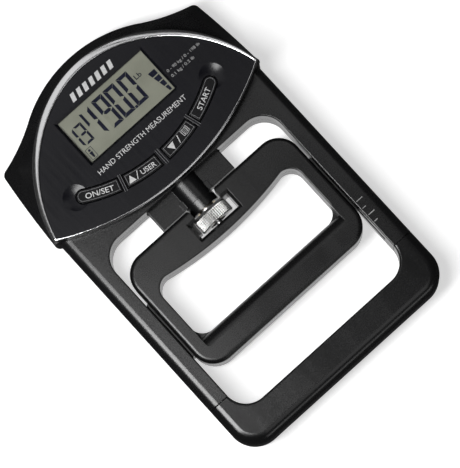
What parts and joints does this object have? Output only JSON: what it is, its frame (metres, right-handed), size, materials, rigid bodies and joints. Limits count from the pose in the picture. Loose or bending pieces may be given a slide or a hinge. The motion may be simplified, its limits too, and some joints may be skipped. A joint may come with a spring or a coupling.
{
  "type": "hand dynamometer",
  "caption": "Electronic grip-strength meter: closed frame with a palm bar, a sliding finger grip set by a thumbwheel, and a wing-shaped head with a display and keys.",
  "frame": {"origin": "centre of the footprint, on the surface that the back rests on", "axes": "+Z out of the display, +Y along the object from the palm bar to the head, +X to the right of someone reading the display"},
  "size_m": [0.127, 0.194, 0.029],
  "materials": {
    "shell_plastic": "fine satin",
    "frame_plastic": "fine satin",
    "palm_plastic": "fine satin",
    "grip_plastic": "fine satin",
    "block_plastic": "satin",
    "shoe_plastic": "smooth",
    "panel_gloss": "high gloss",
    "key_gloss": "gloss",
    "bright_trim": "polished",
    "wheel_chrome": "knurled, plated",
    "clear_window": "clear",
    "lcd_glass": "reflective display film",
    "white_plastic": "moulded",
    "contact_rubber": "soft",
    "board_green": "solder mask",
    "chip_black": "moulded",
    "ribbon_film": "film",
    "battery_wrap": "wrapped",
    "cell_aluminium": "machined",
    "strap_steel": "rolled",
    "screw_steel": "plated",
    "plate_steel": "blackened",
    "black_screw": "black oxide",
    "nut_brass": "turned"
  },
  "bodies": {
    "chassis": {"head_front_shell": "shell_plastic", "head_rear_shell": "shell_plastic", "front_panel": "panel_gloss", "trim_ring": "bright_trim", "display_lens": "clear_window", "lcd_panel": "lcd_glass", "lcd_bracket": "white_plastic", "contact_strips": "contact_rubber", "main_board": "board_green", "board_parts": "chip_black", "board_screws": "screw_steel", "key_domes": "screw_steel", "key_board": "board_green", "key_ribbon": "ribbon_film", "batteries": "battery_wrap", "battery_contacts": "screw_steel", "head_screws": "black_screw", "load_cell": "cell_aluminium", "load_cell_screws": "screw_steel", "strain_gauges": "ribbon_film", "gauge_ribbon": "ribbon_film", "steel_strap": "strap_steel", "frame_front_shell": "frame_plastic", "frame_rear_shell": "frame_plastic", "frame_screws": "black_screw", "palm_front_shell": "palm_plastic", "palm_rear_shell": "palm_plastic", "palm_screws": "black_screw", "guide_block": "block_plastic", "screw_nut": "nut_brass", "hanger_bolts": "screw_steel"},
    "grip": {"grip_front_shell": "grip_plastic", "grip_rear_shell": "grip_plastic", "grip_screws": "black_screw", "thrust_plate": "plate_steel", "pivot_bush": "nut_brass", "finger_core": "strap_steel", "slide_shoe_left": "shoe_plastic", "slide_shoe_right": "shoe_plastic"},
    "wheel": {"thumbwheel": "wheel_chrome", "lead_screw": "strap_steel"},
    "power_button": {"power_key": "key_gloss"},
    "up_button": {"up_key": "key_gloss"},
    "down_button": {"down_key": "key_gloss"},
    "start_button": {"start_key": "key_gloss"},
    "door": {"battery_door": "shell_plastic"}
  },
  "joints": [
    {"name": "grip_slide", "type": "slide", "parent": "chassis", "child": "grip", "axis": [0, -1, 0], "range_m": [0, 0.0175]},
    {"name": "wheel_turn", "type": "hinge", "parent": "grip", "child": "wheel", "pos_m": [0, -0.002, 0.011], "axis": [0, -1, 0], "range_deg": [0, 3150]},
    {"name": "power_press", "type": "slide", "parent": "chassis", "child": "power_button", "axis": [0, 0, -1], "range_m": [0, 0.0005], "stiffness_N_per_m": 1500, "springref_m": -0.0003},
    {"name": "up_press", "type": "slide", "parent": "chassis", "child": "up_button", "axis": [0, 0, -1], "range_m": [0, 0.0005], "stiffness_N_per_m": 1500, "springref_m": -0.0003},
    {"name": "down_press", "type": "slide", "parent": "chassis", "child": "down_button", "axis": [0, 0, -1], "range_m": [0, 0.0005], "stiffness_N_per_m": 1500, "springref_m": -0.0003},
    {"name": "start_press", "type": "slide", "parent": "chassis", "child": "start_button", "axis": [0, 0, -1], "range_m": [0, 0.0005], "stiffness_N_per_m": 1500, "springref_m": -0.0003},
    {"name": "door_off", "type": "slide", "parent": "chassis", "child": "door", "axis": [0, 0, -1], "range_m": [0, 0.03]}
  ],
  "couplings": [
    {"joint": "wheel_turn", "follows": "grip_slide", "rad_per_m": 3141.6}
  ]
}
